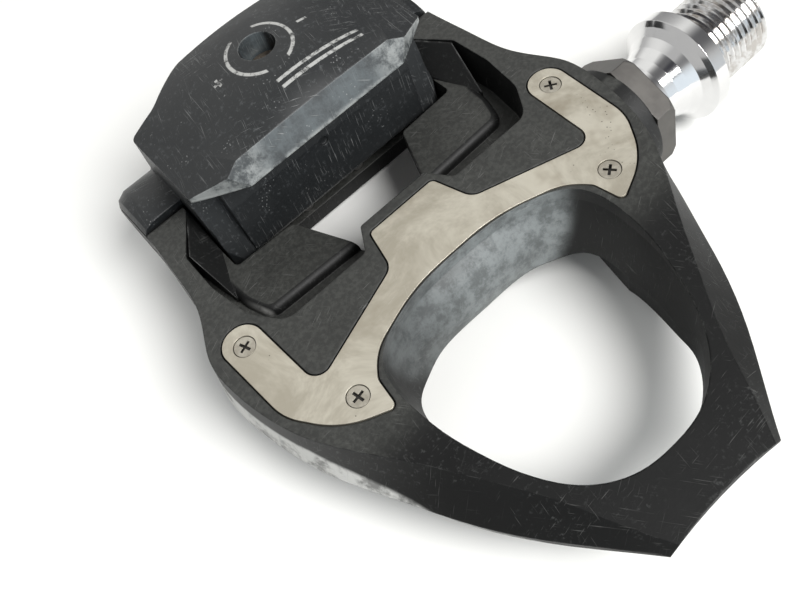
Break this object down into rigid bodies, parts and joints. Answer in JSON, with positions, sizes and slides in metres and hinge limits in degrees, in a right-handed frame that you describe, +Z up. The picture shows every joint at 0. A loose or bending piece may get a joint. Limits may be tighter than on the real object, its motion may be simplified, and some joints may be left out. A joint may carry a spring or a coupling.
{
  "type": "clipless pedal",
  "caption": "Right-hand one-sided road clipless pedal with a nose loop, steel wear plate, sprung rear claw and a threaded spindle.",
  "frame": {"origin": "on the spindle's axis, at the flange face that seats against the crank", "axes": "+X outboard along the spindle, away from the crank; +Y forwards, towards the pedal's nose; +Z up, out of the cleat platform"},
  "size_m": [0.1001, 0.0982, 0.0341],
  "materials": {
    "resin": "matte carbon-filled moulding",
    "plate_steel": "satin stainless, worn",
    "screw_steel": "satin",
    "sleeve_aluminium": "matte grey anodised",
    "seal_rubber": "matte",
    "bearing_steel": "ground",
    "washer_steel": "plated",
    "axle_chrome": "polished",
    "claw_paint": "black painted casting, worn",
    "sleeve_plastic": "moulded",
    "bolt_steel": "plated, dull",
    "spring_steel": "oil tempered"
  },
  "bodies": {
    "spindle": {"spindle": "axle_chrome", "inner_cone": "bearing_steel", "outer_cone": "bearing_steel", "lock_washer": "washer_steel", "lock_nut": "washer_steel"},
    "pedal_body": {"pedal_body": "resin", "body_plate": "plate_steel", "plate_screws": "screw_steel", "lock_bolt": "sleeve_aluminium", "axle_seal": "seal_rubber", "needle_shell": "bearing_steel", "bearing_tube": "bearing_steel", "claw_pin": "bearing_steel", "spring_sleeve": "sleeve_plastic", "spring_outboard": "spring_steel", "spring_inboard": "spring_steel"},
    "needle_rollers": {"needle_rollers": "bearing_steel"},
    "inner_balls": {"inner_balls": "bearing_steel"},
    "outer_balls": {"outer_balls": "bearing_steel"},
    "claw": {"claw": "claw_paint"},
    "tension_bolt": {"tension_bolt": "bolt_steel"},
    "tension_plate": {"tension_plate": "bolt_steel"}
  },
  "joints": [
    {"name": "pedal_spin", "type": "hinge", "parent": "spindle", "child": "pedal_body", "pos_m": [0.052, 0, 0], "axis": [1, 0, 0], "continuous": true},
    {"name": "needle_orbit", "type": "hinge", "parent": "spindle", "child": "needle_rollers", "pos_m": [0.025, 0, 0], "axis": [1, 0, 0], "continuous": true},
    {"name": "inner_ball_orbit", "type": "hinge", "parent": "spindle", "child": "inner_balls", "pos_m": [0.058, 0, 0], "axis": [1, 0, 0], "continuous": true},
    {"name": "outer_ball_orbit", "type": "hinge", "parent": "spindle", "child": "outer_balls", "pos_m": [0.072, 0, 0], "axis": [1, 0, 0], "continuous": true},
    {"name": "claw_hinge", "type": "hinge", "parent": "pedal_body", "child": "claw", "pos_m": [0.052, -0.0385, 0.0005], "axis": [1, 0, 0], "range_deg": [0, 14], "stiffness_Nm_per_rad": 4, "springref_deg": -22.92, "deforming": ["spring_outboard", "spring_inboard"]},
    {"name": "tension_slide", "type": "slide", "parent": "claw", "child": "tension_plate", "axis": [0, -0.2079, 0.9781], "range_m": [-0.0014, 0.0014]},
    {"name": "tension_turn", "type": "hinge", "parent": "claw", "child": "tension_bolt", "pos_m": [0.052, -0.035, 0.0242], "axis": [0, -0.2079, 0.9781], "range_deg": [-720, 720]}
  ],
  "couplings": [
    {"joint": "needle_orbit", "follows": "pedal_spin", "ratio": 0.5641},
    {"joint": "inner_ball_orbit", "follows": "pedal_spin", "ratio": 0.5841},
    {"joint": "outer_ball_orbit", "follows": "pedal_spin", "ratio": 0.5841},
    {"joint": "tension_turn", "follows": "tension_slide", "rad_per_m": -8976}
  ]
}
